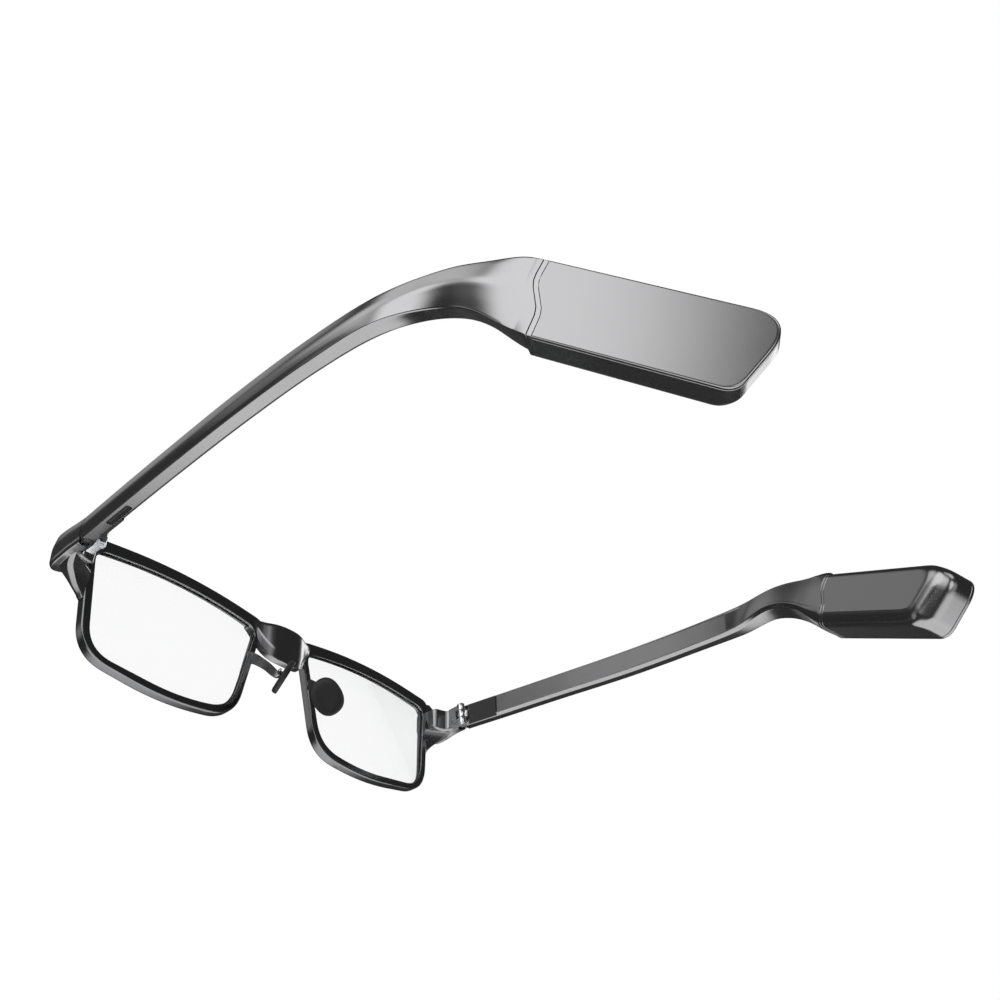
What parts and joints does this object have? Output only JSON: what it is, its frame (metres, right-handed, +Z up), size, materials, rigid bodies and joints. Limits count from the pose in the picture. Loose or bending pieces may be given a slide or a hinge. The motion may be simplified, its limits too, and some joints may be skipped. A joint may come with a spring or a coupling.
{
  "type": "smart glasses",
  "caption": "Rectangular metal smart glasses with folding arms, rocking nose pads, waveguide lenses and a flat electronics pod at each arm tip.",
  "frame": {"origin": "under the middle of the glasses, at the height of the pods' lowest point, arms open", "axes": "+X to the wearer's left, +Y from the front towards the arm tips, +Z up as worn"},
  "size_m": [0.1464, 0.1696, 0.0436],
  "materials": {
    "rim_metal": "gloss black-grey coated metal, clear reflections",
    "endpiece_metal": "polished gunmetal, sharp facets",
    "arm_metal": "satin dark grey, fine blasted grain",
    "strip_metal": "satin dark grey, slightly lighter than the arm",
    "pod_metal": "satin dark grey, very fine grain",
    "ring_metal": "satin grey",
    "lens_glass": "clear, anti-reflection coated",
    "waveguide_glass": "clear with faint relief areas",
    "prism_glass": "clear",
    "gasket_rubber": "matte black",
    "hinge_steel": "bright turned steel",
    "pad_silicone": "matte black silicone",
    "insert_plastic": "matte dark plastic",
    "black_plastic": "matte black plastic",
    "engine_metal": "anodised",
    "flex_film": "amber film",
    "battery_foil": "matte foil",
    "board_laminate": "green solder mask",
    "contact_gold": "gold plated"
  },
  "bodies": {
    "front": {"front_frame": "rim_metal", "left_cover_lens": "lens_glass", "right_cover_lens": "lens_glass", "left_waveguide": "waveguide_glass", "right_waveguide": "waveguide_glass", "left_lens_gasket": "gasket_rubber", "right_lens_gasket": "gasket_rubber", "left_endpiece": "endpiece_metal", "right_endpiece": "endpiece_metal", "left_endpiece_lid": "endpiece_metal", "right_endpiece_lid": "endpiece_metal", "left_light_engine": "engine_metal", "right_light_engine": "engine_metal", "left_coupling_prism": "prism_glass", "right_coupling_prism": "prism_glass", "left_pad_arm": "endpiece_metal", "right_pad_arm": "endpiece_metal", "left_pad_pin": "hinge_steel", "right_pad_pin": "hinge_steel", "left_hinge_front_leaf": "hinge_steel", "right_hinge_front_leaf": "hinge_steel", "left_hinge_pin": "hinge_steel", "right_hinge_pin": "hinge_steel"},
    "left_temple": {"left_hinge_arm_leaf": "hinge_steel", "left_leaf_screws": "hinge_steel", "left_arm_shell": "arm_metal", "left_arm_inner_strip": "strip_metal", "left_flex_cable": "flex_film", "left_hinge_cover": "black_plastic", "left_slot_grille": "black_plastic", "left_seam_ring": "ring_metal", "left_pod_shell": "pod_metal", "left_pod_cover": "pod_metal", "left_battery": "battery_foil", "left_pod_board": "board_laminate", "left_touch_sensor": "flex_film", "left_charging_contacts": "contact_gold"},
    "left_pad": {"left_pad_core": "insert_plastic", "left_nose_pad": "pad_silicone"},
    "right_temple": {"right_hinge_arm_leaf": "hinge_steel", "right_leaf_screws": "hinge_steel", "right_arm_shell": "arm_metal", "right_arm_inner_strip": "strip_metal", "right_flex_cable": "flex_film", "right_hinge_cover": "black_plastic", "right_slot_grille": "black_plastic", "right_seam_ring": "ring_metal", "right_pod_shell": "pod_metal", "right_pod_cover": "pod_metal", "right_battery": "battery_foil", "right_pod_board": "board_laminate", "right_touch_sensor": "flex_film", "right_charging_contacts": "contact_gold"},
    "right_pad": {"right_pad_core": "insert_plastic", "right_nose_pad": "pad_silicone"}
  },
  "joints": [
    {"name": "left_temple_fold", "type": "hinge", "parent": "front", "child": "left_temple", "pos_m": [0.064, -0.0696, 0.03437], "axis": [0, -0.1132, 0.9936], "range_deg": [0, 90]},
    {"name": "right_temple_fold", "type": "hinge", "parent": "front", "child": "right_temple", "pos_m": [-0.064, -0.0696, 0.03437], "axis": [0, 0.1132, -0.9936], "range_deg": [0, 82]},
    {"name": "left_pad_tilt", "type": "hinge", "parent": "front", "child": "left_pad", "pos_m": [0.00904, -0.06993, 0.02024], "axis": [0.2107, 0.8772, 0.4314], "range_deg": [-8, 8]},
    {"name": "right_pad_tilt", "type": "hinge", "parent": "front", "child": "right_pad", "pos_m": [-0.00904, -0.06993, 0.02024], "axis": [0.2107, -0.8772, -0.4314], "range_deg": [-8, 8]}
  ]
}
